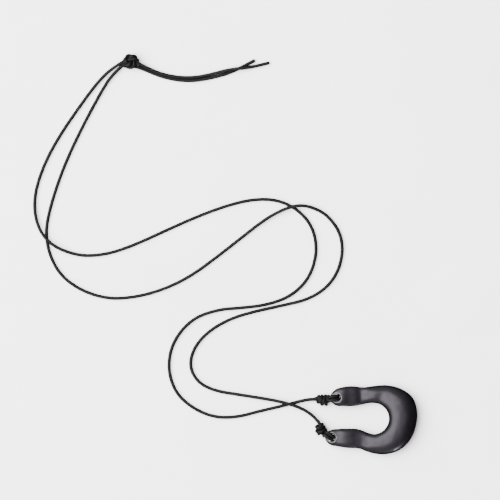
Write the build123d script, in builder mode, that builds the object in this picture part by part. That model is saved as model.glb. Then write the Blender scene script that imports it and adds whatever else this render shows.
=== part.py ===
"""Horseshoe pendant on two knotted waxed cords, lying flat as it would on a table.

Frame: the origin is under the middle of the pendant, on the surface that it lies on. +X points
across the pendant from its open end to its bend, +Y from the lower arm to the upper arm, and
+Z up. All sizes are in millimetres.
"""

from build123d import *
from math import cos, hypot, pi, radians, sin, tan
import os

# ---- driving dimensions: pendant ---------------------------------------------------------------

OPENING_CENTRE = (0.95, 0.65)      # centre of the round end of the horseshoe's opening
OPENING_RADIUS = 7.75
UNDERSIDE_CUT = 0.35               # how much is ground off under the bend to make its flat
SECTION_POINTS = 24                # points round each cross-section
NOSE_STEPS = (82, 70, 56, 40, 22)  # degrees along each rounded tip, from its end inwards

# ---- driving dimensions: holes, eyelets and cord -----------------------------------------------

CORD_D = 1.5
EYELET_BORE_R = 1.9
EYELET_WALL = 0.5
EYELET_PROUD = 0.12                # how far an eyelet's rims stand off the pendant's surface
UPPER_HOLE = (-17.6, 11.15)
LOWER_HOLE = (-20.2, -8.75)

EYE_R = 2.7                        # cord centre line of the loop through each hole
EYE_OFFSET = 2.45                  # from each hole's centre to the middle of the tip's wall
EYE_HEIGHT = 3.5                   # height of both loops' centres, and of the swing axis
UPPER_EYE_HEADING = 190            # direction in which each loop leaves its arm's tip, in degrees
LOWER_EYE_HEADING = 150

UPPER_KNOT = (-24.4, 9.9, 2.6)     # middle of each knot
LOWER_KNOT = (-25.3, -4.2, 2.7)
BACK_KNOT = (-120.2, 179.0, 3.2)

# ---- the pendant's outline, as cross-sections ---------------------------------------------------

# Bend: direction from the opening's centre, outer radius, underside and top of the section.
BEND_SECTIONS = (
    (88, 16.3, -UNDERSIDE_CUT, 6.9),
    (70, 17.7, -UNDERSIDE_CUT, 7.7),
    (50, 19.8, -UNDERSIDE_CUT, 8.6),
    (30, 22.0, -UNDERSIDE_CUT, 9.1),
    (10, 22.2, -UNDERSIDE_CUT, 9.3),
    (-10, 21.9, -UNDERSIDE_CUT, 9.3),
    (-30, 21.6, -UNDERSIDE_CUT, 9.1),
    (-50, 20.9, -UNDERSIDE_CUT, 8.6),
    (-70, 19.0, -UNDERSIDE_CUT, 7.7),
    (-88, 17.6, -UNDERSIDE_CUT, 6.9),
)

# Arms: inner point, outer point, underside and top of the section, from the tip to the bend.
UPPER_ARM_SECTIONS = (
    ((-15.0, 7.0), (-15.0, 15.9), 1.3, 5.5),
    ((-11.5, 6.95), (-11.5, 16.4), 0.8, 6.0),
    ((-8.2, 7.2), (-8.3, 16.3), 0.6, 5.7),
    ((-5.2, 7.75), (-5.3, 15.9), 0.4, 5.2),
    ((-2.2, 8.3), (-2.6, 16.2), 0.1, 5.8),
)
LOWER_ARM_SECTIONS = (
    ((-18.0, -4.75), (-18.0, -13.1), 1.3, 5.5),
    ((-14.5, -4.6), (-14.6, -13.7), 0.9, 6.0),
    ((-11.0, -4.6), (-11.2, -14.1), 0.75, 5.9),
    ((-7.8, -4.75), (-8.2, -14.15), 0.6, 5.4),
    ((-4.8, -5.55), (-5.6, -14.6), 0.4, 5.2),
    ((-2.0, -6.7), (-2.6, -15.8), 0.1, 5.9),
)
UPPER_NOSE_END = (-20.9, 10.95, 3.4)
LOWER_NOSE_END = (-23.4, -8.8, 3.4)
ARM_SQUARENESS = 2.9               # superellipse power: 2 is an ellipse, larger is squarer
BEND_SQUARENESS = 2.2

# ---- the cords' routes ---------------------------------------------------------------------------

LYING = CORD_D / 2 + 0.05          # height of a cord's centre line where it lies on the surface
OVER = 2.6                         # and where it passes over another cord

UPPER_STRAND_ROUTE = (
    (-26.0, 10.2, 2.4), (-30.4, 10.5, 1.9), (-36.6, 9.2, 1.0), (-44.5, 7.0, LYING),
    (-56.0, 4.4, LYING), (-67.5, 1.3, LYING), (-78.5, 1.2, LYING), (-89.0, 5.4, LYING),
    (-98.3, 13.4, LYING), (-102.2, 26.0, LYING), (-99.6, 39.2, LYING), (-90.0, 50.6, LYING),
    (-76.8, 55.2, LYING), (-64.5, 56.0, LYING), (-52.3, 57.5, LYING), (-40.4, 61.8, LYING),
    (-31.4, 70.6, LYING), (-27.3, 83.6, LYING), (-29.4, 96.4, LYING), (-37.4, 105.6, LYING),
    (-48.6, 110.4, LYING), (-61.5, 110.0, LYING), (-75.0, 106.3, LYING), (-89.0, 100.9, LYING),
    (-103.5, 94.4, LYING), (-118.5, 87.5, LYING), (-131.0, 83.1, LYING), (-143.0, 81.7, LYING),
    (-152.9, 83.9, 1.9), (-160.4, 87.8, OVER), (-165.9, 94.2, OVER), (-168.8, 103.6, 1.4),
    (-168.3, 114.6, LYING), (-163.5, 128.6, LYING), (-156.2, 141.9, LYING), (-146.8, 155.7, LYING),
    (-137.6, 168.2, 1.1), (-130.4, 175.4, 2.0), (-124.2, 179.0, 3.0),
)
LOWER_STRAND_ROUTE = (
    (-25.9, -2.2, 2.6), (-28.0, 0.7, 2.4), (-31.8, 3.9, 2.3), (-37.2, 6.7, OVER),
    (-46.2, 9.3, OVER), (-55.6, 10.9, 1.5), (-67.0, 12.7, LYING), (-78.6, 14.5, LYING),
    (-87.2, 18.8, LYING), (-91.4, 27.0, LYING), (-88.8, 36.6, LYING), (-81.0, 44.9, LYING),
    (-70.0, 50.9, LYING), (-58.8, 54.1, LYING), (-45.1, 57.1, LYING), (-31.2, 60.3, LYING),
    (-20.4, 67.8, LYING), (-14.8, 79.6, LYING), (-15.0, 92.2, LYING), (-21.9, 102.2, LYING),
    (-30.0, 106.4, 1.8), (-36.4, 107.4, OVER), (-43.8, 105.5, OVER), (-53.4, 100.3, 1.4),
    (-64.4, 91.7, LYING), (-77.2, 81.6, LYING), (-90.4, 71.9, LYING), (-103.2, 65.5, LYING),
    (-117.0, 61.5, LYING), (-131.0, 60.3, LYING), (-144.4, 64.1, LYING), (-155.5, 71.8, LYING),
    (-161.5, 83.0, LYING), (-163.1, 94.2, LYING), (-161.2, 104.8, LYING), (-157.0, 118.4, LYING),
    (-151.7, 132.0, LYING), (-144.0, 147.9, LYING), (-135.4, 163.9, 1.0), (-129.9, 172.6, 1.4),
    (-124.2, 177.4, 2.0),
)
UPPER_TAIL_ROUTE = (
    (-117.2, 178.6, 3.0), (-112.8, 176.3, 2.0), (-106.4, 173.5, 1.0), (-98.6, 171.4, LYING),
    (-90.0, 170.9, LYING), (-81.0, 172.5, LYING), (-73.6, 174.5, 1.9), (-69.0, 175.3, OVER),
    (-64.2, 175.8, OVER), (-58.6, 176.6, 1.3), (-51.6, 178.4, LYING),
)
LOWER_TAIL_ROUTE = (
    (-117.2, 176.2, 2.0), (-112.7, 174.3, 1.2), (-106.2, 171.7, LYING), (-98.4, 169.7, LYING),
    (-89.4, 169.1, LYING), (-80.2, 170.8, LYING), (-72.8, 172.9, LYING), (-67.6, 175.0, LYING),
    (-63.0, 177.4, LYING), (-58.8, 179.6, LYING),
)


def superellipse(half_width, half_height, power):
    """Points of one superellipse, in its plane's own coordinates."""
    points = []
    for i in range(SECTION_POINTS):
        c = cos(radians(360 * i / SECTION_POINTS))
        s = sin(radians(360 * i / SECTION_POINTS))
        x = half_width * abs(c) ** (2 / power) * (1 if c >= 0 else -1)
        y = half_height * abs(s) ** (2 / power) * (1 if s >= 0 else -1)
        points.append((x, y))
    return points


def section_face(inner, outer, underside, top, power, proud=0.0):
    """One cross-section of the pendant, standing upright from its inner to its outer edge."""
    middle = ((inner[0] + outer[0]) / 2, (inner[1] + outer[1]) / 2, (underside + top) / 2)
    across = (outer[0] - inner[0], outer[1] - inner[1], 0)
    along = (across[1], -across[0], 0)
    half_width = hypot(across[0], across[1]) / 2 + proud
    half_height = (top - underside) / 2 + proud
    points = superellipse(half_width, half_height, power)
    half = SECTION_POINTS // 2
    with BuildSketch(Plane(origin=middle, x_dir=across, z_dir=along)) as section:
        with BuildLine():
            Spline(*points[:half + 1], tangents=((0, 1), (0, -1)))
            Spline(*points[half:], points[0], tangents=((0, -1), (0, 1)))
        make_face()
    return section.sketch.faces()[0]


def nose_faces(arm_end, nose_end, proud):
    """Sections of one rounded tip: the arm's last section shrunk round a quarter ellipse."""
    inner, outer, underside, top = arm_end
    start = ((inner[0] + outer[0]) / 2, (inner[1] + outer[1]) / 2, (underside + top) / 2)
    faces = []
    for step in NOSE_STEPS:
        reach = sin(radians(step))
        size = cos(radians(step))
        x = start[0] + (nose_end[0] - start[0]) * reach
        y = start[1] + (nose_end[1] - start[1]) * reach
        z = start[2] + (nose_end[2] - start[2]) * reach
        near = (x, y + (inner[1] - start[1]) * size)
        far = (x, y + (outer[1] - start[1]) * size)
        half_height = (top - underside) / 2 * size
        faces.append(section_face(near, far, z - half_height, z + half_height,
                                  ARM_SQUARENESS, proud))
    return faces


def horseshoe_faces(proud=0.0):
    """Every section from the upper tip, round the bend, to the lower tip."""
    faces = nose_faces(UPPER_ARM_SECTIONS[0], UPPER_NOSE_END, proud)
    for inner, outer, underside, top in UPPER_ARM_SECTIONS:
        faces.append(section_face(inner, outer, underside, top, ARM_SQUARENESS, proud))
    for angle, outer_radius, underside, top in BEND_SECTIONS:
        c = cos(radians(angle))
        s = sin(radians(angle))
        inner = (OPENING_CENTRE[0] + OPENING_RADIUS * c, OPENING_CENTRE[1] + OPENING_RADIUS * s)
        outer = (OPENING_CENTRE[0] + outer_radius * c, OPENING_CENTRE[1] + outer_radius * s)
        faces.append(section_face(inner, outer, underside, top, BEND_SQUARENESS, proud))
    for inner, outer, underside, top in reversed(LOWER_ARM_SECTIONS):
        faces.append(section_face(inner, outer, underside, top, ARM_SQUARENESS, proud))
    faces += reversed(nose_faces(LOWER_ARM_SECTIONS[0], LOWER_NOSE_END, proud))
    return faces


os.makedirs("parts", exist_ok=True)

# ---- pendant ---------------------------------------------------------------------------------------

with BuildPart() as pendant:
    loft([Vertex(*UPPER_NOSE_END), *horseshoe_faces(), Vertex(*LOWER_NOSE_END)])
    split(bisect_by=Plane.XY, keep=Keep.TOP)
    with BuildSketch(Plane.XY):
        with Locations(UPPER_HOLE, LOWER_HOLE):
            Circle(EYELET_BORE_R + EYELET_WALL)
    extrude(amount=20, mode=Mode.SUBTRACT)

pendant.part.label = "pendant"
export_step(pendant.part, "parts/pendant.step")


# ---- eyelets: thin liners that follow the tips' curved faces and stand a little proud --------------


with BuildPart() as proud_horseshoe:
    loft([Vertex(*UPPER_NOSE_END), *horseshoe_faces(EYELET_PROUD), Vertex(*LOWER_NOSE_END)])


def make_eyelet(label, hole):
    with BuildPart() as eyelet:
        add(proud_horseshoe.part)
        with BuildSketch(Plane.XY):
            with Locations(hole):
                Circle(EYELET_BORE_R + EYELET_WALL)
                Circle(EYELET_BORE_R, mode=Mode.SUBTRACT)
        extrude(amount=20, mode=Mode.INTERSECT)
    eyelet.part.label = label
    export_step(eyelet.part, f"parts/{label}.step")


make_eyelet("upper_eyelet", UPPER_HOLE)
make_eyelet("lower_eyelet", LOWER_HOLE)


# ---- cord eyes: the loop that each cord makes through its hole and round the arm's tip -------------


def eye_centre(hole, heading):
    angle = radians(heading)
    return (hole[0] + EYE_OFFSET * cos(angle), hole[1] + EYE_OFFSET * sin(angle), EYE_HEIGHT)


def make_eye(label, hole, heading):
    centre = eye_centre(hole, heading)
    angle = radians(heading)
    level = Plane(origin=centre, x_dir=(cos(angle), sin(angle), 0), z_dir=(0, 0, 1))
    with BuildPart() as eye:
        with BuildSketch(level):
            with Locations((EYE_R, 0)):
                Circle(CORD_D / 2)
        revolve(axis=Axis(centre, level.y_dir))
    eye.part.label = label
    export_step(eye.part, f"parts/{label}.step")
    print(f"{label}: centre {centre}")


make_eye("upper_eye", UPPER_HOLE, UPPER_EYE_HEADING)
make_eye("lower_eye", LOWER_HOLE, LOWER_EYE_HEADING)


# ---- knots: the outer shape of each overhand knot --------------------------------------------------


def make_knot(label, centre, heading, half_length, half_thickness):
    angle = radians(heading)
    lengthways = (cos(angle), sin(angle), 0)
    upright = Plane(origin=centre, x_dir=lengthways, z_dir=(sin(angle), -cos(angle), 0))
    with BuildPart() as knot:
        with BuildSketch(upright):
            Ellipse(half_length, half_thickness)
            Rectangle(3 * half_length, 3 * half_thickness, align=(Align.CENTER, Align.MAX),
                      mode=Mode.SUBTRACT)
        revolve(axis=Axis(centre, lengthways))
    knot.part.label = label
    export_step(knot.part, f"parts/{label}.step")


make_knot("upper_knot", UPPER_KNOT, 165, 2.55, 2.45)
make_knot("lower_knot", LOWER_KNOT, 125, 3.0, 2.6)
make_knot("back_knot", BACK_KNOT, -33, 4.9, 3.1)


# ---- cords: plain tubes along their routes ---------------------------------------------------------


def corner_radii(route):
    """The largest arc that each corner's two runs allow."""
    radii = []
    for before, corner, after in zip(route, route[1:], route[2:]):
        run_in = Vector(*corner) - Vector(*before)
        run_out = Vector(*after) - Vector(*corner)
        turn = run_in.get_angle(run_out)
        radii.append(0.45 * min(run_in.length, run_out.length) / tan(radians(turn) / 2))
    return radii


def make_cord(label, route):
    radii = corner_radii(route)
    with BuildPart() as cord:
        with BuildLine() as path:
            FilletPolyline(*route, radius=radii)
        with BuildSketch(Plane(origin=path.line @ 0, z_dir=path.line % 0)):
            Circle(CORD_D / 2)
        sweep()
    cord.part.label = label
    export_step(cord.part, f"parts/{label}.step")
    length = sum(edge.length for edge in path.edges())
    print(f"{label}: length {length:.1f}, volume {cord.part.volume:.1f},",
          f"section x length {pi * CORD_D**2 / 4 * length:.1f},",
          f"radii {min(radii):.1f} to {max(radii):.1f}")


make_cord("upper_strand", UPPER_STRAND_ROUTE)
make_cord("lower_strand", LOWER_STRAND_ROUTE)
make_cord("upper_tail", UPPER_TAIL_ROUTE)
make_cord("lower_tail", LOWER_TAIL_ROUTE)
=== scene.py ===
"""Looks of the horseshoe pendant on its two knotted waxed cords, lying flat on a white surface.

The frame is the CAD source's, in metres. Its origin is under the middle of the pendant, on the
surface that it lies on. +X points across the pendant from its open end to its bend, +Y from the
lower arm to the upper arm, and +Z up.
"""

from math import cos, hypot, pi, radians, sin

import bmesh
import bpy
import numpy as np
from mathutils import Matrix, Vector
from mathutils.bvhtree import BVHTree


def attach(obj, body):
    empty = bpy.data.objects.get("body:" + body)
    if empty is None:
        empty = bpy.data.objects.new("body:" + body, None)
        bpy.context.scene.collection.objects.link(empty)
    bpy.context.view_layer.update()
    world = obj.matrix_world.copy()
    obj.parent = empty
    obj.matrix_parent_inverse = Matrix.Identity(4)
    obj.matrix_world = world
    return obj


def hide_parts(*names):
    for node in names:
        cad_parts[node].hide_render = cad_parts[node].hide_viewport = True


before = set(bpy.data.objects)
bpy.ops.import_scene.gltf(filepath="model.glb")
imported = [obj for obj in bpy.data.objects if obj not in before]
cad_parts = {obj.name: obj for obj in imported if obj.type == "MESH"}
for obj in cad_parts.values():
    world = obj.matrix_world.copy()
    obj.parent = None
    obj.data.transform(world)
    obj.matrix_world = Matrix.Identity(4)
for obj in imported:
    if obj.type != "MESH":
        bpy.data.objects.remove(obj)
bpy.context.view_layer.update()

# ---- camera ---------------------------------------------------------------------------------------

VIEW_CENTRE = (-0.0609, 0.0849)
VIEW_WIDTH = 0.250                 # width of what the camera sees on the surface
CAMERA_HEIGHT = 4.0
SENSOR_WIDTH = 36                  # millimetres, as the lens length is


def make_camera():
    data = bpy.data.cameras.new("camera")
    data.sensor_width = SENSOR_WIDTH
    data.lens = SENSOR_WIDTH * CAMERA_HEIGHT / VIEW_WIDTH
    camera = bpy.data.objects.new("camera", data)
    camera.location = (*VIEW_CENTRE, CAMERA_HEIGHT)
    bpy.context.collection.objects.link(camera)
    bpy.context.scene.camera = camera


make_camera()

# ---- sizes of the cords, as in the CAD source -------------------------------------------------------

CORD_D = 0.0015
WAXED_D = 0.00165                  # with the wax that stands proud of the braid
LYING = 0.0008                     # height of a cord's centre line where it lies on the surface
OVER = 0.0026                      # and where it passes over another cord

UPPER_STRAND_ROUTE = (
    (-0.026, 0.0102, 0.0024), (-0.0304, 0.0105, 0.0019), (-0.0366, 0.0092, 0.001),
    (-0.0445, 0.007, LYING), (-0.056, 0.0044, LYING), (-0.0675, 0.0013, LYING),
    (-0.0785, 0.0012, LYING), (-0.089, 0.0054, LYING), (-0.0983, 0.0134, LYING),
    (-0.1022, 0.026, LYING), (-0.0996, 0.0392, LYING), (-0.09, 0.0506, LYING), (-0.0768, 0.0552, LYING),
    (-0.0645, 0.056, LYING), (-0.0523, 0.0575, LYING), (-0.0404, 0.0618, LYING),
    (-0.0314, 0.0706, LYING), (-0.0273, 0.0836, LYING), (-0.0294, 0.0964, LYING),
    (-0.0374, 0.1056, LYING), (-0.0486, 0.1104, LYING), (-0.0615, 0.11, LYING), (-0.075, 0.1063, LYING),
    (-0.089, 0.1009, LYING), (-0.1035, 0.0944, LYING), (-0.1185, 0.0875, LYING),
    (-0.131, 0.0831, LYING), (-0.143, 0.0817, LYING), (-0.1529, 0.0839, 0.0019),
    (-0.1604, 0.0878, OVER), (-0.1659, 0.0942, OVER), (-0.1688, 0.1036, 0.0014),
    (-0.1683, 0.1146, LYING), (-0.1635, 0.1286, LYING), (-0.1562, 0.1419, LYING),
    (-0.1468, 0.1557, LYING), (-0.1376, 0.1682, 0.0011), (-0.1304, 0.1754, 0.002),
    (-0.1242, 0.179, 0.003),
)
LOWER_STRAND_ROUTE = (
    (-0.0259, -0.0022, 0.0026), (-0.028, 0.0007, 0.0024), (-0.0318, 0.0039, 0.0023),
    (-0.0372, 0.0067, OVER), (-0.0462, 0.0093, OVER), (-0.0556, 0.0109, 0.0015),
    (-0.067, 0.0127, LYING), (-0.0786, 0.0145, LYING), (-0.0872, 0.0188, LYING),
    (-0.0914, 0.027, LYING), (-0.0888, 0.0366, LYING), (-0.081, 0.0449, LYING), (-0.07, 0.0509, LYING),
    (-0.0588, 0.0541, LYING), (-0.0451, 0.0571, LYING), (-0.0312, 0.0603, LYING),
    (-0.0204, 0.0678, LYING), (-0.0148, 0.0796, LYING), (-0.015, 0.0922, LYING),
    (-0.0219, 0.1022, LYING), (-0.03, 0.1064, 0.0018), (-0.0364, 0.1074, OVER), (-0.0438, 0.1055, OVER),
    (-0.0534, 0.1003, 0.0014), (-0.0644, 0.0917, LYING), (-0.0772, 0.0816, LYING),
    (-0.0904, 0.0719, LYING), (-0.1032, 0.0655, LYING), (-0.117, 0.0615, LYING),
    (-0.131, 0.0603, LYING), (-0.1444, 0.0641, LYING), (-0.1555, 0.0718, LYING),
    (-0.1615, 0.083, LYING), (-0.1631, 0.0942, LYING), (-0.1612, 0.1048, LYING),
    (-0.157, 0.1184, LYING), (-0.1517, 0.132, LYING), (-0.144, 0.1479, LYING), (-0.1354, 0.1639, 0.001),
    (-0.1299, 0.1726, 0.0014), (-0.1242, 0.1774, 0.002),
)
UPPER_TAIL_ROUTE = (
    (-0.1172, 0.1784, 0.003), (-0.1128, 0.176, 0.0022), (-0.1064, 0.1732, 0.0013),
    (-0.0986, 0.1714, LYING), (-0.09, 0.1709, LYING), (-0.081, 0.1725, LYING),
    (-0.0736, 0.1745, 0.0019), (-0.069, 0.1753, OVER), (-0.0642, 0.1758, OVER),
    (-0.0586, 0.1766, 0.0013), (-0.0516, 0.1784, LYING),
)
LOWER_TAIL_ROUTE = (
    (-0.1172, 0.1764, 0.002), (-0.1127, 0.1746, 0.0012), (-0.1062, 0.1719, LYING),
    (-0.0984, 0.1699, LYING), (-0.0894, 0.1693, LYING), (-0.0802, 0.1709, LYING),
    (-0.0728, 0.1729, LYING), (-0.0676, 0.175, LYING), (-0.063, 0.1774, LYING),
    (-0.0588, 0.1796, LYING),
)

UPPER_HOLE = (-0.0176, 0.01115)
LOWER_HOLE = (-0.0202, -0.00875)
EYE_R = 0.0027                     # cord centre line of the loop through each hole
EYE_OFFSET = 0.00245               # from each hole's centre to the middle of the tip's wall
EYE_HEIGHT = 0.0035
EYE_REACH = 0.0034                 # how far the loop bulges towards the far side of its hole
EYE_TURN_GAP = 0.0017              # between the loop's two turns, side by side
UPPER_EYE_HEADING = 190
LOWER_EYE_HEADING = 146
UPPER_KNOT = (-0.0235, 0.0102, 0.0026)
LOWER_KNOT = (-0.0253, -0.0042, 0.0027)
BACK_KNOT = (-0.1202, 0.179, 0.0032)
BACK_KNOT_SAG = np.array((-0.0005, -0.0009, 0))   # of the knot's body from its leads
UPPER_KNOT_HEADING = 165
LOWER_KNOT_HEADING = 125

# ---- curves through points --------------------------------------------------------------------------

CURVE_STEPS = 16                   # stations from one point of a curve to the next


def evenly(points, spacing):
    """The same line with its points evenly spaced, about that far apart."""
    points = np.asarray(points, float)
    along = np.r_[0, np.cumsum(np.linalg.norm(np.diff(points, axis=0), axis=1))]
    count = max(2, round(along[-1] / spacing) + 1)
    at = np.linspace(0, along[-1], count)
    return np.stack([np.interp(at, along, points[:, axis]) for axis in range(3)], axis=1)


def smooth_through(rows, steps):
    """Cubic stations between the rows of an array, with the given number of steps in each gap."""
    gaps = np.linalg.norm(np.diff(rows, axis=0), axis=-1)
    gaps = gaps.reshape(len(rows) - 1, -1).mean(axis=1)
    at = np.r_[0, np.cumsum(gaps)]
    slopes = np.gradient(rows, at, axis=0)
    stations = []
    for i, gap in enumerate(gaps):
        for t in np.arange(steps[i]) / steps[i]:
            stations.append(
                (2 * t**3 - 3 * t**2 + 1) * rows[i]
                + (t**3 - 2 * t**2 + t) * gap * slopes[i]
                + (3 * t**2 - 2 * t**3) * rows[i + 1]
                + (t**3 - t**2) * gap * slopes[i + 1]
            )
    stations.append(rows[-1])
    return np.array(stations)


def curve_through(points, spacing):
    """An evenly spaced smooth line through a few points."""
    points = np.array(points, float)
    return evenly(smooth_through(points, [CURVE_STEPS] * (len(points) - 1)), spacing)


def centreline(name, route):
    """Points read from the NURBS line that has the route's points as its control points."""
    curve = bpy.data.curves.new(name, "CURVE")
    curve.dimensions = "3D"
    curve.resolution_u = 24
    spline = curve.splines.new("NURBS")
    spline.points.add(len(route) - 1)
    for point, place in zip(spline.points, route):
        point.co = (*place, 1)
    spline.order_u = 3
    spline.use_endpoint_u = True
    line = bpy.data.objects.new(name, curve)
    bpy.context.collection.objects.link(line)
    mesh = bpy.data.meshes.new_from_object(line)
    points = [tuple(vertex.co) for vertex in mesh.vertices]
    bpy.data.objects.remove(line)
    return points


# ---- meshes -----------------------------------------------------------------------------------------


def ring_mesh(name, rings, uvs=None, closed=False):
    """A mesh skinned over rings of points. Open ends are closed with a fan to each end's middle."""
    count, sides = rings.shape[:2]
    vertices = [tuple(point) for point in rings.reshape(-1, 3)]
    faces = []
    for i in range(count if closed else count - 1):
        here = i * sides
        there = (i + 1) % count * sides
        for k in range(sides):
            beside = (k + 1) % sides
            faces.append((here + k, here + beside, there + beside, there + k))
    if not closed:
        for end, turn in ((0, -1), (count - 1, 1)):
            middle = len(vertices)
            vertices.append(tuple(rings[end].mean(axis=0)))
            for k in range(sides):
                corner = end * sides + k
                beside = end * sides + (k + 1) % sides
                faces.append((middle, corner, beside)[::turn])
    mesh = bpy.data.meshes.new(name)
    mesh.from_pydata(vertices, [], faces)
    if uvs is not None:
        layer = mesh.uv_layers.new(name="braid")
        flat = uvs.reshape(-1, 2)
        for polygon in mesh.polygons:
            corners = [mesh.loops[index].vertex_index for index in polygon.loop_indices]
            wraps = any(corner % sides == sides - 1 for corner in corners if corner < len(flat))
            for index, corner in zip(polygon.loop_indices, corners):
                if corner >= len(flat):
                    corner = corners[1]
                u, v = flat[corner]
                if wraps and corner % sides == 0:
                    v += 1
                layer.data[index].uv = (u, v)
    mesh.update()
    mesh.shade_smooth()
    obj = bpy.data.objects.new(name, mesh)
    bpy.context.collection.objects.link(obj)
    return obj


def frames_along(points):
    """Directions along a line, and two across it that don't twist."""
    ahead = np.gradient(points, axis=0)
    ahead /= np.linalg.norm(ahead, axis=1)[:, None]
    side = np.cross((0, 0, 1), ahead[0])
    side /= np.linalg.norm(side)
    sides = []
    for direction in ahead:
        side = side - direction * (side @ direction)
        side /= np.linalg.norm(side)
        sides.append(side)
    sides = np.array(sides)
    return ahead, sides, np.cross(ahead, sides)


# ---- cord tubes ------------------------------------------------------------------------------------

TUBE_SIDES = 16
RING_STEP = 0.00028
BRAID_PITCH = 0.0023               # length of cord in which a braided strand goes once round
BRAID_STRANDS = 4                  # strands that go each way round
BRAID_RELIEF = 0.00005
BRAID_MEAN = 0.3                   # share of the relief at which the surface keeps the cord's radius
CAP_STEPS = 5
CUT_END = 0.6                      # a bare end's length past its line, in radii: 1 is a half ball
TUCKED_END = 0.4


def cord_tube(name, points, start_cap=1.0, end_cap=1.0):
    """A braided round cord along a line, raised where its strands cross, and flat on the floor."""
    points = evenly(points, RING_STEP)
    ahead, side, up = frames_along(points)
    radius = WAXED_D / 2
    along = np.arange(len(points)) * RING_STEP
    centres = [points]
    radii = [np.full(len(points), radius)]
    places = [along]
    turns = (np.arange(CAP_STEPS) + 0.5) / CAP_STEPS * pi / 2
    rings = []
    uvs = []

    def add_ring(centre, across, over, ring_radius, place, relief):
        ring = []
        ring_uvs = []
        for k in range(TUBE_SIDES):
            turn = k / TUBE_SIDES
            one = sin(pi * (BRAID_STRANDS * turn + BRAID_STRANDS * place / BRAID_PITCH))
            other = sin(pi * (BRAID_STRANDS * turn - BRAID_STRANDS * place / BRAID_PITCH))
            raised = ring_radius + relief * (abs(one * other) - BRAID_MEAN)
            angle = 2 * pi * turn
            ring.append(centre + raised * (cos(angle) * across + sin(angle) * over))
            ring_uvs.append((place / BRAID_PITCH, turn))
        rings.append(ring)
        uvs.append(ring_uvs)

    for turn in turns:
        back = points[0] - ahead[0] * radius * start_cap * cos(turn)
        add_ring(back, side[0], up[0], radius * sin(turn), -radius * cos(turn), 0)
    for i, point in enumerate(points):
        add_ring(point, side[i], up[i], radius, along[i], BRAID_RELIEF)
    for turn in turns[::-1]:
        front = points[-1] + ahead[-1] * radius * end_cap * cos(turn)
        add_ring(front, side[-1], up[-1], radius * sin(turn), along[-1] + radius * cos(turn), 0)
    rings = np.array(rings)
    rings[:, :, 2] = np.maximum(rings[:, :, 2], 0)
    return ring_mesh(name, rings, np.array(uvs))


# ---- knots, pulled tight from a loose start ----------------------------------------------------------
# Sizes here are in cord diameters, in a frame whose x axis runs along the knot.

PULL = 0.45                        # share of a link's error that each end makes good at once
TIGHT_BY = 0.7                     # share of the rounds in which the links go from loose to tight
NEAR = 2                           # squared distance within which two points may come to touch
NEIGHBOURS = 1.35                  # points closer than this along one cord don't push each other
SMOOTH_STEP = 0.1
SMOOTH_ROUNDS = 4

WRAP_TURNS = 3
WRAP_POINTS = 65 + 33 * WRAP_TURNS   # from the eye to the tucked end
WRAP_LINK = 0.14                   # length of a link when the wrap is tight
TIE_ROUNDS = 2500
TIE_BEND = 0.10                    # share of each point's corner that is eased in a round
TIE_LEAD_HELD = 6                  # points at the strand's end that stay where they are

BACK_KNOT_POINTS = 150
BACK_KNOT_LEAD = 12                # points of each cord on its route, before and after the knot
BACK_KNOT_LINK = 0.235
BACK_KNOT_ROUNDS = 1800
BACK_KNOT_BEND = 0.12
BACK_KNOT_FADE = 30                # points over which the knot's sag sets in


def tighten(cords, held, goals, tight_steps, floor, rounds, bend):
    """Pulls cords tight: each link shrinks to its tight length, the held points go to their goals,
    and every two stretches stay a diameter apart and above the floor."""
    counts = [len(cord) for cord in cords]
    points = np.vstack(cords)
    total = len(points)
    held = np.concatenate(held)
    last = np.cumsum(counts) - 1
    first = last - np.array(counts) + 1
    linked = np.ones(total - 1, bool)
    linked[last[:-1]] = False
    left = np.where(linked)[0]
    right = left + 1
    loose_steps = np.linalg.norm(points[right] - points[left], axis=1)
    tight_steps = np.concatenate(tight_steps)
    owner = np.repeat(np.arange(len(counts)), counts)
    one, other = np.triu_indices(total, 2)
    movable = (~held).astype(float)[:, None]
    start = points[held]
    goal = np.vstack(goals)
    inner = ~held
    inner[first] = False
    inner[last] = False
    inner = np.where(inner)[0]
    for turn in range(rounds):
        done = min(1, turn / (rounds * TIGHT_BY))
        steps = loose_steps * (1 - done) + tight_steps * done
        points[held] = start * (1 - done) + goal * done
        if turn % 5 == 0:
            along = np.zeros(total)
            along[right] = steps
            along = np.cumsum(along)
            apart = points[other] - points[one]
            near = (apart**2).sum(axis=1) < NEAR
            near &= (owner[one] != owner[other]) | (along[other] - along[one] > NEIGHBOURS)
            near &= ~(held[one] & held[other])
            a_near = one[near]
            b_near = other[near]
        for _ in range(3):
            gap = points[right] - points[left]
            size = np.linalg.norm(gap, axis=1)
            pull = (PULL * (size - steps) / size)[:, None] * gap
            move = np.zeros_like(points)
            np.add.at(move, left, pull)
            np.add.at(move, right, -pull)
            points += move * movable
        points[inner] += bend * ((points[inner - 1] + points[inner + 1]) / 2 - points[inner])
        for _ in range(2):
            apart = points[b_near] - points[a_near]
            size = np.linalg.norm(apart, axis=1)
            touching = size < 1
            a = a_near[touching]
            b = b_near[touching]
            share = 0.5 + 0.5 * (held[a] | held[b])
            push = ((1 - size[touching]) * share / np.maximum(size[touching], 1e-6))[:, None]
            push = push * apart[touching]
            move = np.zeros_like(points)
            hits = np.zeros(total)
            np.add.at(move, a, -push)
            np.add.at(move, b, push)
            np.add.at(hits, a, 1)
            np.add.at(hits, b, 1)
            points += move / np.maximum(hits, 1)[:, None] * movable
        points[inner, 2] = np.maximum(points[inner, 2], floor)
    return [points[f:l + 1] for f, l in zip(first, last)]


def smoothed(line):
    """A tightened line, evenly spaced again and with its small corners eased."""
    line = evenly(line, SMOOTH_STEP)
    for _ in range(SMOOTH_ROUNDS):
        line[1:-1] += 0.5 * ((line[:-2] + line[2:]) / 2 - line[1:-1])
    return line


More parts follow.
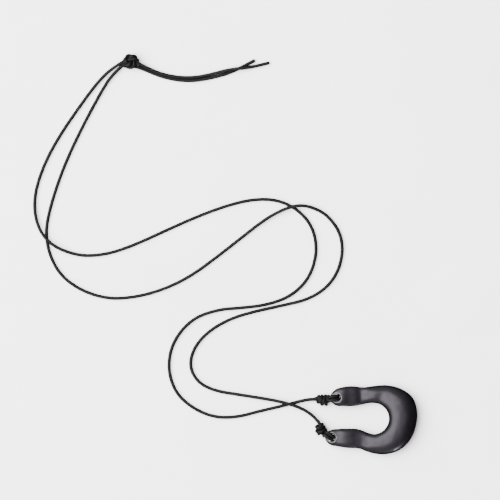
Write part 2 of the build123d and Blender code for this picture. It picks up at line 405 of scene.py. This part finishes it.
def double_eye(hole, heading):
    """Two turns through a hole and round the arm's tip, side by side, and which points are held.

    Angles are in degrees round the loop, from its side towards the knot. The cord crosses from one
    turn to the other on that side, so the crossing and both ends are left free."""
    angle = radians(heading)
    toward = np.array((cos(angle), sin(angle), 0))
    sideways = np.array((-sin(angle), cos(angle), 0))
    centre = np.array((*hole, EYE_HEIGHT)) + EYE_OFFSET * toward
    turns = np.arange(42, 677, 6.0)
    crossing_from = 300
    crossing_to = 420
    crossing = np.clip((turns - crossing_from) / (crossing_to - crossing_from), 0, 1)
    shift = EYE_TURN_GAP * (crossing**2 * (3 - 2 * crossing) - 0.5)
    around = np.radians(turns)
    points = centre + shift[:, None] * sideways
    reach = np.where(np.cos(around) > 0, EYE_R, EYE_REACH)
    points = points + (reach * np.cos(around))[:, None] * toward
    points[:, 2] += EYE_R * np.sin(around)
    held = ((turns > 60) & (turns < crossing_from)) | ((turns > crossing_to) & (turns < 660))
    return points, held


def loose_wrap(start, count):
    """From the eye: out beside the standing cord, wide turns back round it, and tucked under them."""
    points = [start, (-1.8, 0.5, -1.1), (-0.8, 0.9, -0.9), (0.4, 1.0, -0.5), (1.4, 1.2, -0.2)]
    for t in np.linspace(0, 1, CURVE_STEPS * WRAP_TURNS):
        angle = 0.2 + 2 * pi * WRAP_TURNS * t
        points.append((1.9 - 2.9 * t, 0.4 + 2.2 * cos(angle), 2.2 * sin(angle)))
    points += [(-1.6, 1.6, 1.6), (-1.3, 0.5, 1.15), (-0.3, 0.3, 1.1), (0.6, 0.3, 1.1)]
    points += [(1.6, 0.4, 1.2), (2.6, 0.9, 1.2), (3.2, 1.4, 1.2)]
    line = curve_through(points, 0.05)
    return evenly(line, np.linalg.norm(np.diff(line, axis=0), axis=1).sum() / (count - 1))


def tie_line(strand_start, knot, knot_heading, hole, eye_heading):
    """One cord from the strand's start through its knot, twice round the eye, and back to the knot."""
    angle = radians(knot_heading)
    axes = np.array(((cos(angle), sin(angle), 0), (-sin(angle), cos(angle), 0), (0, 0, 1)))
    eye, eye_held = double_eye(hole, eye_heading)
    eye = (eye - knot) @ axes.T / CORD_D
    start = (np.array(strand_start) - knot) @ axes.T / CORD_D
    lead = curve_through([start + (1.5, 0, 0), start, (0, 0, 0.1), (-0.9, 0, 0.6), eye[0]], 0.2)
    wrap = loose_wrap(eye[-1], WRAP_POINTS)
    line = np.vstack((lead[:-1], eye, wrap[1:]))
    eye_start = len(lead) - 1
    eye_end = eye_start + len(eye)
    held = np.zeros(len(line), bool)
    held[:TIE_LEAD_HELD] = True
    held[eye_start:eye_end] = eye_held
    steps = np.linalg.norm(np.diff(line, axis=0), axis=1)
    steps[eye_end - 1:] = WRAP_LINK
    floor = (LYING - knot[2]) / CORD_D
    line = tighten([line], [held], [line[held]], [steps], floor, TIE_ROUNDS, TIE_BEND)[0]
    return smoothed(line) * CORD_D @ axes + knot


def loose_doubled_overhand(count):
    """Two cords side by side in one wide overhand knot, a trefoil with its ends drawn out along y."""
    turn = np.linspace(0, 2 * pi, 400)
    reach = 2 + np.cos(3 * turn)
    loop = 2 * np.stack((reach * np.cos(2 * turn), reach * np.sin(2 * turn), np.sin(3 * turn)), 1)
    loop = loop[14:-14]
    lead_in = [loop[0] + (0.8, -s, -0.3 * s) for s in np.linspace(8, 0.5, 12)]
    lead_out = [loop[-1] + (0.8, s, 0.3 * s) for s in np.linspace(0.5, 8, 12)]
    line = np.vstack((lead_in, loop, lead_out))
    step = np.linalg.norm(np.diff(line, axis=0), axis=1).sum() / (count - 1)
    line = evenly(line, step)
    for _ in range(20):
        line[1:-1] = line[:-2] / 4 + line[1:-1] / 2 + line[2:] / 4
    line = evenly(line, step)[:count]
    apart = frames_along(line)[1] * 0.55
    return line + apart, line - apart


def back_knot_lines(strands, tails):
    """Each cord's line through the back knot, whose leads lie on the ends of the cords' routes."""
    axes = np.array(((0, -1, 0), (1, 0, 0), (0, 0, 1)))
    cords = loose_doubled_overhand(BACK_KNOT_POINTS)
    held = np.zeros(len(cords[0]), bool)
    held[:BACK_KNOT_LEAD] = True
    held[-BACK_KNOT_LEAD:] = True
    goals = []
    steps = []
    for strand, tail in zip(strands, tails):
        lead_in = np.linspace(strand[-2], strand[-1], BACK_KNOT_LEAD)
        lead_out = np.linspace(tail[0], tail[1], BACK_KNOT_LEAD)
        lead_in = (lead_in - BACK_KNOT) @ axes.T / CORD_D
        lead_out = (lead_out - BACK_KNOT) @ axes.T / CORD_D
        goals += [lead_in, lead_out]
        cord_steps = np.full(len(held) - 1, BACK_KNOT_LINK)
        cord_steps[:BACK_KNOT_LEAD - 1] = np.linalg.norm(lead_in[1] - lead_in[0])
        cord_steps[1 - BACK_KNOT_LEAD:] = np.linalg.norm(lead_out[1] - lead_out[0])
        steps.append(cord_steps)
    floor = (LYING - BACK_KNOT[2]) / CORD_D
    cords = tighten(cords, [held, held], goals, steps, floor, BACK_KNOT_ROUNDS, BACK_KNOT_BEND)
    lines = []
    for cord in cords:
        line = smoothed(cord[BACK_KNOT_LEAD - 2:2 - BACK_KNOT_LEAD]) * CORD_D @ axes + BACK_KNOT
        from_start = np.arange(len(line))
        from_end = from_start[::-1]
        inside = np.clip(np.minimum(from_start, from_end) / BACK_KNOT_FADE, 0, 1)
        lines.append(line + BACK_KNOT_SAG * inside[:, None])
    return lines


# ---- pendant ---------------------------------------------------------------------------------------

OPENING_CENTRE = (0.0007, 0.0007)
OPENING_RADIUS = 0.00775
UNDERSIDE_CUT = 0.00035
ARM_SQUARENESS = 2.9               # superellipse power: 2 is an ellipse, larger is squarer
BEND_INNER_SQUARENESS = 2.7
BEND_OUTER_SQUARENESS = 2.1
SECTION_SIDES = 72
STATION_GAP = 0.0006

# Bend: direction from the opening's centre, outer radius, underside and top of the section.
BEND_SECTIONS = (
    (88, 0.0164, -UNDERSIDE_CUT, 0.0067),
    (70, 0.0178, -UNDERSIDE_CUT, 0.0069),
    (50, 0.0200, -UNDERSIDE_CUT, 0.0081),
    (30, 0.0222, -UNDERSIDE_CUT, 0.0090),
    (10, 0.0222, -UNDERSIDE_CUT, 0.0093),
    (-10, 0.0216, -UNDERSIDE_CUT, 0.0093),
    (-30, 0.0213, -UNDERSIDE_CUT, 0.0091),
    (-50, 0.0205, -UNDERSIDE_CUT, 0.0086),
    (-70, 0.0190, -UNDERSIDE_CUT, 0.0077),
    (-88, 0.0176, -UNDERSIDE_CUT, 0.0069),
)

# Arms: inner point, outer point, underside and top of the section, from the tip to the bend.
UPPER_ARM_SECTIONS = (
    ((-0.0150, 0.0069), (-0.0150, 0.0164), 0.0013, 0.0062),
    ((-0.0115, 0.0068), (-0.0115, 0.0169), 0.0008, 0.0059),
    ((-0.0082, 0.0070), (-0.0083, 0.0168), 0.0006, 0.0057),
    ((-0.0052, 0.0076), (-0.0053, 0.0164), 0.0004, 0.0053),
    ((-0.0022, 0.0083), (-0.0026, 0.0165), 0.0001, 0.0061),
)
LOWER_ARM_SECTIONS = (
    ((-0.0180, -0.0045), (-0.0180, -0.0131), 0.0013, 0.0054),
    ((-0.0145, -0.0043), (-0.0146, -0.0137), 0.0009, 0.0060),
    ((-0.0110, -0.0043), (-0.0112, -0.0141), 0.00075, 0.0060),
    ((-0.0078, -0.0044), (-0.0082, -0.01415), 0.0006, 0.0056),
    ((-0.0048, -0.0052), (-0.0056, -0.0146), 0.0004, 0.0055),
    ((-0.0020, -0.0064), (-0.0026, -0.0158), 0.0001, 0.0059),
)
UPPER_NOSE_END = (-0.0209, 0.01095, 0.0034)
LOWER_NOSE_END = (-0.0234, -0.0088, 0.0034)
NOSE_STEPS = (88, 84, 79, 73, 66, 58, 49, 39, 28, 15)

EYELET_BORE_R = 0.0019
EYELET_WALL = 0.0005
EYELET_LIP = 0.0005                # depth below each mouth where the straight wall starts
EYELET_SEGMENTS = 96
BEAD_MIDDLE_R = 0.00248
BEAD_HALF_WIDTH = 0.00024
BEAD_HEIGHT = 0.00014
BEAD_SINK = 0.00006                # how far its edges lie in the stone
BEAD_POINTS = 11
ABOVE_PENDANT = 0.02               # heights from which the stone's surface is felt for
BELOW_PENDANT = -0.01
DRILL_LENGTH = 0.04
SHARP_EDGE = 40                    # degrees: a drilled edge stays sharp, the rest is shaded smooth


def section_ring(inner, outer, underside, top, inner_power, outer_power):
    """Evenly spaced points round one cross-section of the pendant."""
    angles = np.linspace(0, 2 * pi, 361)
    power = np.where(np.cos(angles) > 0, outer_power, inner_power)
    half_width = hypot(outer[0] - inner[0], outer[1] - inner[1]) / 2
    half_height = (top - underside) / 2
    wide = half_width * np.sign(np.cos(angles)) * abs(np.cos(angles)) ** (2 / power)
    high = half_height * np.sign(np.sin(angles)) * abs(np.sin(angles)) ** (2 / power)
    across = np.array((outer[0] - inner[0], outer[1] - inner[1])) / (2 * half_width)
    along = np.r_[0, np.cumsum(np.hypot(np.diff(wide), np.diff(high)))]
    at = np.linspace(0, along[-1], SECTION_SIDES + 1)[:-1]
    wide = np.interp(at, along, wide)
    high = np.interp(at, along, high)
    middle = ((inner[0] + outer[0]) / 2, (inner[1] + outer[1]) / 2, (underside + top) / 2)
    return np.stack((middle[0] + across[0] * wide, middle[1] + across[1] * wide, middle[2] + high), 1)


def nose_rings(arm_end, nose_end):
    """Sections of one rounded tip: the arm's last section shrunk round a quarter ellipse."""
    inner, outer, underside, top = arm_end
    start = np.array(((inner[0] + outer[0]) / 2, (inner[1] + outer[1]) / 2, (underside + top) / 2))
    rings = []
    for step in NOSE_STEPS:
        middle = start + (np.array(nose_end) - start) * sin(radians(step))
        size = cos(radians(step))
        near = (middle[0], middle[1] + (inner[1] - start[1]) * size)
        far = (middle[0], middle[1] + (outer[1] - start[1]) * size)
        half_height = (top - underside) / 2 * size
        rings.append(section_ring(near, far, middle[2] - half_height, middle[2] + half_height,
                                  ARM_SQUARENESS, ARM_SQUARENESS))
    return rings


def solid_horseshoe():
    """The pendant's body, before its holes are drilled."""
    rings = nose_rings(UPPER_ARM_SECTIONS[0], UPPER_NOSE_END)
    for inner, outer, underside, top in UPPER_ARM_SECTIONS:
        rings.append(section_ring(inner, outer, underside, top, ARM_SQUARENESS, ARM_SQUARENESS))
    for angle, outer_radius, underside, top in BEND_SECTIONS:
        toward = np.array((cos(radians(angle)), sin(radians(angle))))
        inner = OPENING_CENTRE + OPENING_RADIUS * toward
        outer = OPENING_CENTRE + outer_radius * toward
        rings.append(section_ring(inner, outer, underside, top, BEND_INNER_SQUARENESS,
                                  BEND_OUTER_SQUARENESS))
    for inner, outer, underside, top in reversed(LOWER_ARM_SECTIONS):
        rings.append(section_ring(inner, outer, underside, top, ARM_SQUARENESS, ARM_SQUARENESS))
    rings += reversed(nose_rings(LOWER_ARM_SECTIONS[0], LOWER_NOSE_END))
    rings = np.array(rings)
    gaps = np.linalg.norm(np.diff(rings, axis=0), axis=2).mean(axis=1)
    steps = np.maximum(1, np.round(gaps / STATION_GAP)).astype(int)
    rings = smooth_through(rings, steps)
    rings[:, :, 2] = np.maximum(rings[:, :, 2], 0)
    return ring_mesh("horseshoe", rings)


def drill(body, hole, radius):
    """Cuts one upright round hole through a body."""
    mesh = bpy.data.meshes.new("drill")
    shape = bmesh.new()
    bmesh.ops.create_cone(
        shape,
        cap_ends=True,
        segments=EYELET_SEGMENTS,
        radius1=radius,
        radius2=radius,
        depth=DRILL_LENGTH,
    )
    bmesh.ops.translate(shape, verts=shape.verts, vec=(*hole, 0))
    shape.to_mesh(mesh)
    shape.free()
    cutter = bpy.data.objects.new("drill", mesh)
    bpy.context.collection.objects.link(cutter)
    cut = body.modifiers.new("hole", "BOOLEAN")
    cut.object = cutter
    cut.operation = "DIFFERENCE"
    cut.solver = "EXACT"
    view_layer = bpy.context.view_layer
    view_layer.update()
    finished = bpy.data.meshes.new_from_object(body.evaluated_get(view_layer.depsgraph))
    body.modifiers.clear()
    body.data = finished
    bpy.data.objects.remove(cutter)


def make_eyelet(name, surface, hole):
    """A rolled metal eyelet: a liner through the hole with a bead round each mouth."""
    rings = []
    for k in range(EYELET_SEGMENTS):
        angle = 2 * pi * k / EYELET_SEGMENTS
        toward = Vector((cos(angle), sin(angle), 0))
        profile = []
        for above in (True, False):
            ray_start = ABOVE_PENDANT if above else BELOW_PENDANT
            down = Vector((0, 0, -1 if above else 1))
            heights = []
            for radius in (BEAD_MIDDLE_R - BEAD_HALF_WIDTH, BEAD_MIDDLE_R + BEAD_HALF_WIDTH):
                place = Vector((*hole, ray_start)) + toward * radius
                hit = surface.ray_cast(place, down)[0]
                heights.append(hit.z)
            mouth = []
            for turn in np.linspace(0, pi, BEAD_POINTS):
                radius = BEAD_MIDDLE_R - BEAD_HALF_WIDTH * cos(turn)
                share = (1 - cos(turn)) / 2
                level = heights[0] * (1 - share) + heights[1] * share
                rise = BEAD_HEIGHT * sin(turn) - BEAD_SINK
                mouth.append(Vector((*hole, level - down.z * rise)) + toward * radius)
            profile += mouth if above else reversed(mouth)
        for mouth, inward in ((profile[-1], EYELET_LIP), (profile[0], -EYELET_LIP)):
            profile.append(Vector((*hole, mouth.z + inward)) + toward * EYELET_BORE_R)
        rings.append([tuple(point) for point in profile])
    return ring_mesh(name, np.array(rings), closed=True)


def paint_liner(eyelet, material):
    """Gives the eyelet's wall inside the hole its own material of near-black painted shade, as its
    beads keep the first one.
    """
    eyelet.data.materials.append(material)
    beads = 2 * BEAD_POINTS - 1
    sides = 2 * BEAD_POINTS + 2
    for polygon in eyelet.data.polygons:
        if polygon.index % sides >= beads:
            polygon.material_index = 1


# ---- materials --------------------------------------------------------------------------------------


def new_material(name):
    material = bpy.data.materials.new(name)
    material.use_nodes = True
    tree = material.node_tree
    return material, tree, tree.nodes["Principled BSDF"]


def noise(tree, coordinates, scale, detail, roughness=0.5):
    node = tree.nodes.new("ShaderNodeTexNoise")
    node.inputs["Scale"].default_value = scale
    node.inputs["Detail"].default_value = detail
    node.inputs["Roughness"].default_value = roughness
    tree.links.new(coordinates, node.inputs["Vector"])
    return node.outputs["Fac"]


def ramp(tree, value, stops):
    """Colours at places from 0 to 1 along a value."""
    node = tree.nodes.new("ShaderNodeValToRGB")
    while len(node.color_ramp.elements) < len(stops):
        node.color_ramp.elements.new(0.5)
    for element, (place, colour) in zip(node.color_ramp.elements, stops):
        element.position = place
        element.color = (*colour, 1)
    tree.links.new(value, node.inputs["Fac"])
    return node.outputs["Color"]


def spread(tree, value, low, high, new_low, new_high):
    node = tree.nodes.new("ShaderNodeMapRange")
    node.inputs["From Min"].default_value = low
    node.inputs["From Max"].default_value = high
    node.inputs["To Min"].default_value = new_low
    node.inputs["To Max"].default_value = new_high
    tree.links.new(value, node.inputs["Value"])
    return node.outputs["Result"]


def maths(tree, operation, one, other=None):
    """One math node. Each input is a number or a socket."""
    node = tree.nodes.new("ShaderNodeMath")
    node.operation = operation
    for socket, value in zip(node.inputs, (one, other)):
        if value is None:
            continue
        if isinstance(value, (int, float)):
            socket.default_value = value
        else:
            tree.links.new(value, socket)
    return node.outputs["Value"]


def bump(tree, height, strength, distance, below=None):
    node = tree.nodes.new("ShaderNodeBump")
    node.inputs["Strength"].default_value = strength
    node.inputs["Distance"].default_value = distance
    tree.links.new(height, node.inputs["Height"])
    if below is not None:
        tree.links.new(below, node.inputs["Normal"])
    return node.outputs["Normal"]


def object_coordinates(tree):
    return tree.nodes.new("ShaderNodeTexCoord").outputs["Object"]


def make_stone():
    """Black stone with a hand-rubbed polish: faint cloudiness, soft unevenness and fine scratches."""
    material, tree, shader = new_material("polished black stone")
    place = object_coordinates(tree)
    clouds = noise(tree, place, 140, 5)
    colour = ramp(tree, clouds, ((0.3, (0.0018, 0.0016, 0.0021)), (0.75, (0.0040, 0.0035, 0.0045))))
    tree.links.new(colour, shader.inputs["Base Color"])
    rubbed = noise(tree, place, 420, 4)
    tree.links.new(spread(tree, rubbed, 0.3, 0.7, 0.30, 0.40), shader.inputs["Roughness"])
    uneven = bump(tree, noise(tree, place, 170, 1), 0.35, 0.0006)
    grain = bump(tree, noise(tree, place, 2600, 3), 0.12, 0.00004, uneven)
    tree.links.new(grain, shader.inputs["Normal"])
    shader.inputs["Specular IOR Level"].default_value = 0.18
    shader.inputs["Specular Tint"].default_value = (0.95, 0.88, 1, 1)
    return material


def make_metal():
    """Plain bright metal, dulled a little by handling."""
    material, tree, shader = new_material("dulled bright metal")
    place = object_coordinates(tree)
    wear = noise(tree, place, 900, 4)
    colour = ramp(tree, wear, ((0.3, (0.055, 0.055, 0.057)), (0.7, (0.080, 0.078, 0.080))))
    tree.links.new(colour, shader.inputs["Base Color"])
    tree.links.new(spread(tree, wear, 0.3, 0.7, 0.24, 0.42), shader.inputs["Roughness"])
    tree.links.new(bump(tree, noise(tree, place, 3000, 2), 0.2, 0.00002), shader.inputs["Normal"])
    shader.inputs["Metallic"].default_value = 1
    return material


def make_painted_shade_liner():
    """The eyelet's wall inside the hole, coloured near-black as painted shade for the depth of the
    hole, with a random mottle.
    """
    material, tree, shader = new_material("liner with painted shade")
    liner_mottle = noise(tree, object_coordinates(tree), 1400, 4)
    # painted shade: near-black colour standing in for the shade inside the hole, mottled at random
    colour = ramp(tree, liner_mottle, ((0.3, (0.004, 0.004, 0.004)), (0.8, (0.020, 0.019, 0.019))))
    tree.links.new(colour, shader.inputs["Base Color"])
    tree.links.new(spread(tree, liner_mottle, 0.3, 0.7, 0.55, 0.8), shader.inputs["Roughness"])
    shader.inputs["Metallic"].default_value = 0.2
    return material


def make_cord_material():
    """Black waxed braid: strands that cross each way round, with wax lying unevenly over them, and
    painted shade that darkens the grooves between the strands.
    """
    material, tree, shader = new_material("black waxed braid")
    place = object_coordinates(tree)
    braid = tree.nodes.new("ShaderNodeUVMap")
    braid.uv_map = "braid"
    split = tree.nodes.new("ShaderNodeSeparateXYZ")
    tree.links.new(braid.outputs["UV"], split.inputs["Vector"])
    along = maths(tree, "MULTIPLY", split.outputs["X"], pi * BRAID_STRANDS)
    around = maths(tree, "MULTIPLY", split.outputs["Y"], pi * BRAID_STRANDS)
    one = maths(tree, "SINE", maths(tree, "ADD", around, along))
    other = maths(tree, "SINE", maths(tree, "SUBTRACT", around, along))
    raised = maths(tree, "ABSOLUTE", maths(tree, "MULTIPLY", one, other))
    wax = noise(tree, place, 1500, 4)
    shade = maths(tree, "MULTIPLY", raised, spread(tree, wax, 0.2, 0.8, 0.5, 1.4))
    # painted shade: darker in the braid's grooves and lighter on its raised strands, varied by the
    # uneven wax
    colour = ramp(tree, shade, ((0.0, (0.0008, 0.0008, 0.0009)), (0.9, (0.0055, 0.0053, 0.0057))))
    tree.links.new(colour, shader.inputs["Base Color"])
    tree.links.new(spread(tree, wax, 0.25, 0.75, 0.40, 0.62), shader.inputs["Roughness"])
    weave = bump(tree, raised, 0.6, 0.00009)
    fuzz = bump(tree, noise(tree, place, 6000, 3), 0.35, 0.00003, weave)
    tree.links.new(fuzz, shader.inputs["Normal"])
    shader.inputs["Specular IOR Level"].default_value = 0.09
    return material


def make_floor_material():
    material, tree, shader = new_material("pale floor")
    mottle = noise(tree, object_coordinates(tree), 30, 3)
    colour = ramp(tree, mottle, ((0.3, (0.90, 0.90, 0.90)), (0.7, (0.93, 0.93, 0.93))))
    tree.links.new(colour, shader.inputs["Base Color"])
    shader.inputs["Roughness"].default_value = 0.9
    shader.inputs["Specular IOR Level"].default_value = 0.1
    return material


# ---- light and floor --------------------------------------------------------------------------------

FLOOR_HALF_WIDTH = 1.5
FLOOR_GAP = 0.00002                # keeps the floor's face off the flat undersides
WORLD_STRENGTH = 2.3
DARK_SIDE = 0.05                   # share of that strength on the right


def make_softbox(name, heading, tilt, distance, size, power):
    """A square light aimed at the pendant, from a heading and a tilt off the vertical."""
    data = bpy.data.lights.new(name, "AREA")
    data.shape = "SQUARE"
    data.size = size
    data.energy = power
    light = bpy.data.objects.new(name, data)
    flat = sin(radians(tilt))
    toward = Vector((flat * cos(radians(heading)), flat * sin(radians(heading)), cos(radians(tilt))))
    light.location = toward * distance
    light.rotation_mode = "QUATERNION"
    light.rotation_quaternion = toward.to_track_quat("Z", "Y")
    bpy.context.collection.objects.link(light)


def make_world(strength):
    """Even white surroundings above the surface, fading to dark on the right, as in a half tent."""
    world = bpy.data.worlds.new("soft surroundings")
    world.use_nodes = True
    tree = world.node_tree
    background = tree.nodes["Background"]
    background.inputs["Color"].default_value = (1, 1, 1, 1)
    split = tree.nodes.new("ShaderNodeSeparateXYZ")
    tree.links.new(tree.nodes.new("ShaderNodeTexCoord").outputs["Generated"], split.inputs["Vector"])
    leftward = spread(tree, split.outputs["X"], 0.0, 0.50, strength, strength * DARK_SIDE)
    upward = spread(tree, split.outputs["Z"], -0.05, 0.10, 0.02, 1.0)
    tree.links.new(maths(tree, "MULTIPLY", leftward, upward), background.inputs["Strength"])
    bpy.context.scene.world = world


def make_floor(material):
    """A plain floor that glossy surfaces don't mirror, as in a picture cut out on white."""
    mesh = bpy.data.meshes.new("floor")
    half = FLOOR_HALF_WIDTH
    corners = [(-half, -half, 0), (half, -half, 0), (half, half, 0), (-half, half, 0)]
    mesh.from_pydata(corners, [], [(0, 1, 2, 3)])
    mesh.materials.append(material)
    floor = bpy.data.objects.new("floor", mesh)
    floor.location = (*VIEW_CENTRE, -FLOOR_GAP)
    floor.visible_glossy = False
    bpy.context.collection.objects.link(floor)


make_softbox("key", heading=165, tilt=36, distance=1.2, size=1.3, power=80)
make_softbox("glint", heading=-68, tilt=84, distance=0.7, size=0.10, power=4.5)
make_world(WORLD_STRENGTH)
make_floor(make_floor_material())

# ---- the object -------------------------------------------------------------------------------------


def finish_piece(piece, body, slot, material, *nodes):
    """Gives a piece its material and its body, and hides the CAD nodes that it stands for."""
    piece.data.materials.clear()
    piece.data.materials.append(material)
    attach(piece, body)
    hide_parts(*nodes)


waxed_cord = make_cord_material()

upper_line = centreline("upper_route", UPPER_STRAND_ROUTE)
lower_line = centreline("lower_route", LOWER_STRAND_ROUTE)
upper_tail_line = centreline("upper_tail_route", UPPER_TAIL_ROUTE)
lower_tail_line = centreline("lower_tail_route", LOWER_TAIL_ROUTE)

upper_cord = cord_tube("upper_cord", upper_line)
lower_cord = cord_tube("lower_cord", lower_line)
upper_cord_tail = cord_tube("upper_cord_tail", upper_tail_line, end_cap=CUT_END)
lower_cord_tail = cord_tube("lower_cord_tail", lower_tail_line, end_cap=CUT_END)

upper_tie = cord_tube(
    "upper_tie",
    tie_line(UPPER_STRAND_ROUTE[0], UPPER_KNOT, UPPER_KNOT_HEADING, UPPER_HOLE,
             UPPER_EYE_HEADING),
    end_cap=TUCKED_END,
)
lower_tie = cord_tube(
    "lower_tie",
    tie_line(LOWER_STRAND_ROUTE[0], LOWER_KNOT, LOWER_KNOT_HEADING, LOWER_HOLE,
             LOWER_EYE_HEADING),
    end_cap=TUCKED_END,
)

upper_wrap_line, lower_wrap_line = back_knot_lines(
    (UPPER_STRAND_ROUTE, LOWER_STRAND_ROUTE), (LOWER_TAIL_ROUTE, UPPER_TAIL_ROUTE)
)
upper_wrap = cord_tube("upper_back_knot", upper_wrap_line)
lower_wrap = cord_tube("lower_back_knot", lower_wrap_line)

for piece, *nodes in (
    (upper_cord, "upper_strand"),
    (lower_cord, "lower_strand"),
    (upper_cord_tail, "upper_tail"),
    (lower_cord_tail, "lower_tail"),
    (upper_tie, "upper_eye", "upper_knot"),
    (lower_tie, "lower_eye", "lower_knot"),
    (upper_wrap, "back_knot"),
    (lower_wrap, "back_knot"),
):
    finish_piece(piece, "cord", "waxed_cord", waxed_cord, *nodes)

black_stone = make_stone()
eyelet_metal = make_metal()

horseshoe = solid_horseshoe()
surface = BVHTree.FromPolygons(
    [vertex.co for vertex in horseshoe.data.vertices],
    [tuple(polygon.vertices) for polygon in horseshoe.data.polygons],
)
upper_ring = make_eyelet("upper_ring", surface, UPPER_HOLE)
lower_ring = make_eyelet("lower_ring", surface, LOWER_HOLE)
drill(horseshoe, UPPER_HOLE, EYELET_BORE_R + EYELET_WALL)
drill(horseshoe, LOWER_HOLE, EYELET_BORE_R + EYELET_WALL)
horseshoe.data.shade_smooth()
horseshoe.data.set_sharp_from_angle(angle=radians(SHARP_EDGE))
shade_painted_liner = make_painted_shade_liner()
finish_piece(horseshoe, "pendant", "black_stone", black_stone, "pendant")
finish_piece(upper_ring, "pendant", "eyelet_metal", eyelet_metal, "upper_eyelet")
finish_piece(lower_ring, "pendant", "eyelet_metal", eyelet_metal, "lower_eyelet")

paint_liner(upper_ring, shade_painted_liner)
paint_liner(lower_ring, shade_painted_liner)
